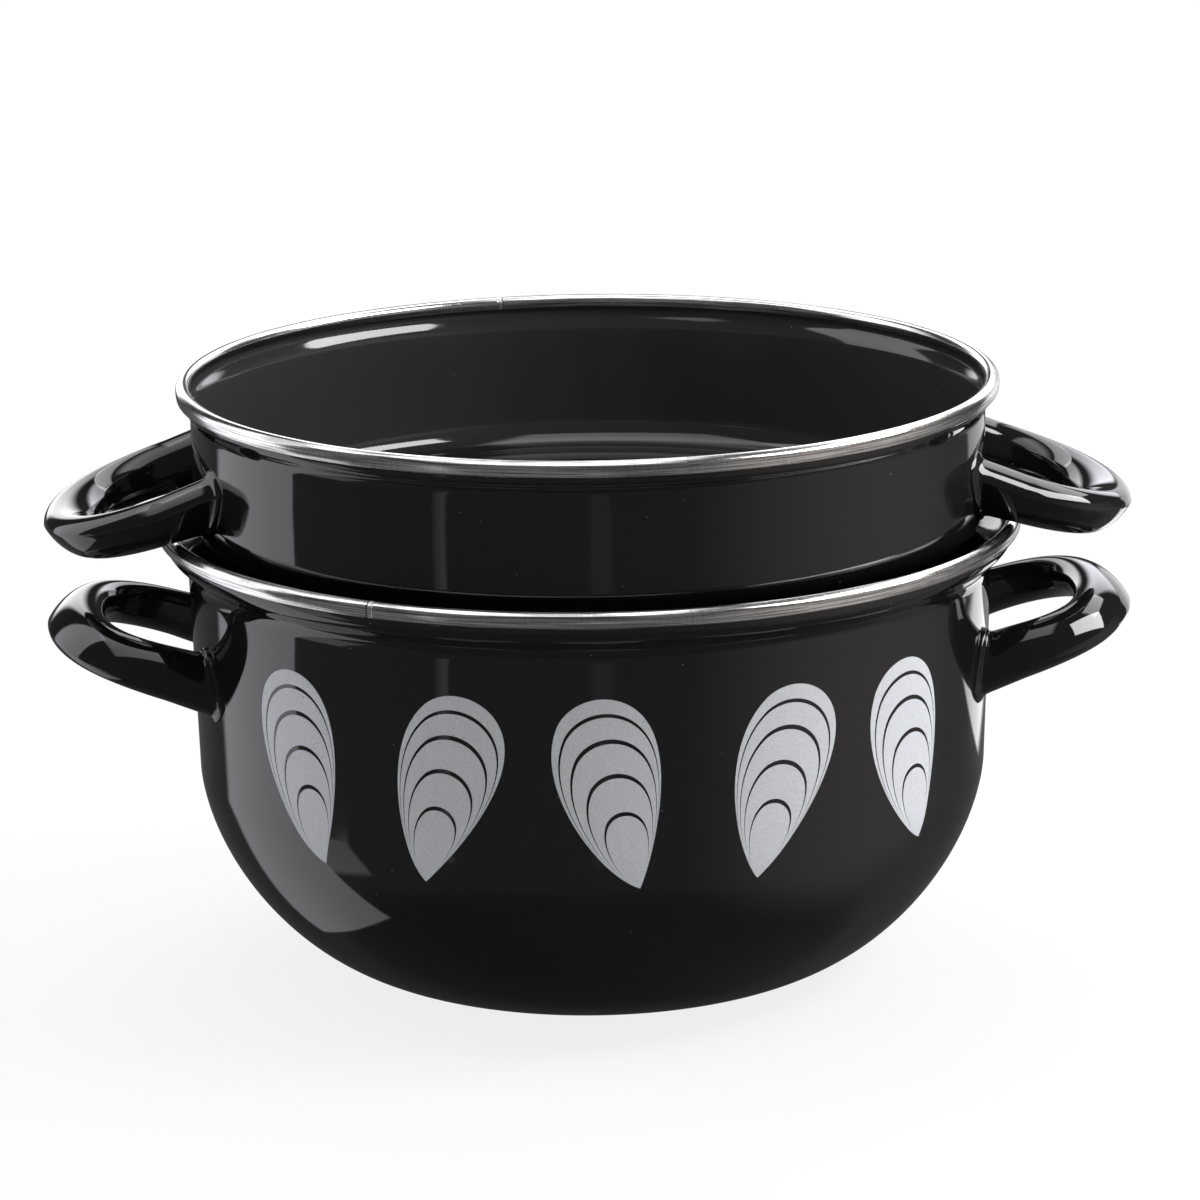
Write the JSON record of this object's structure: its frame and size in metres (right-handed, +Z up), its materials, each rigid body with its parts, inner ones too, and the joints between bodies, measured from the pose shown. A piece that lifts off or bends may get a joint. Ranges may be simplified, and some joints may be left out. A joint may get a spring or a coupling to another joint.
{
  "type": "mussel pot",
  "caption": "Enamelled steel pot with a round bottom and steel-bound rim, its deep lid turned over on top as a bowl for empty shells; looped side handles.",
  "frame": {"origin": "centre of the pot's base, on the surface it stands on", "axes": "+Z up through the middle of the pot, X from handle to handle, -Y towards the decorated front"},
  "size_m": [0.305, 0.242, 0.1677],
  "materials": {
    "enamel": "gloss black vitreous enamel on pressed steel, with slight orange peel",
    "rim_steel": "bright rolled stainless strip with fine marks across it",
    "print": "silver-grey screen print fired on the enamel, satin"
  },
  "bodies": {
    "pot": {"pot_body": "enamel", "pot_rim_band": "rim_steel", "pot_handle_left": "enamel", "pot_handle_right": "enamel"},
    "lid": {"lid_body": "enamel", "lid_rim_band": "rim_steel", "lid_handle_left": "enamel", "lid_handle_right": "enamel"}
  },
  "joints": [
    {"name": "lid_lift", "type": "slide", "parent": "pot", "child": "lid", "axis": [0, 0, 1], "range_m": [0, 0.15]}
  ]
}
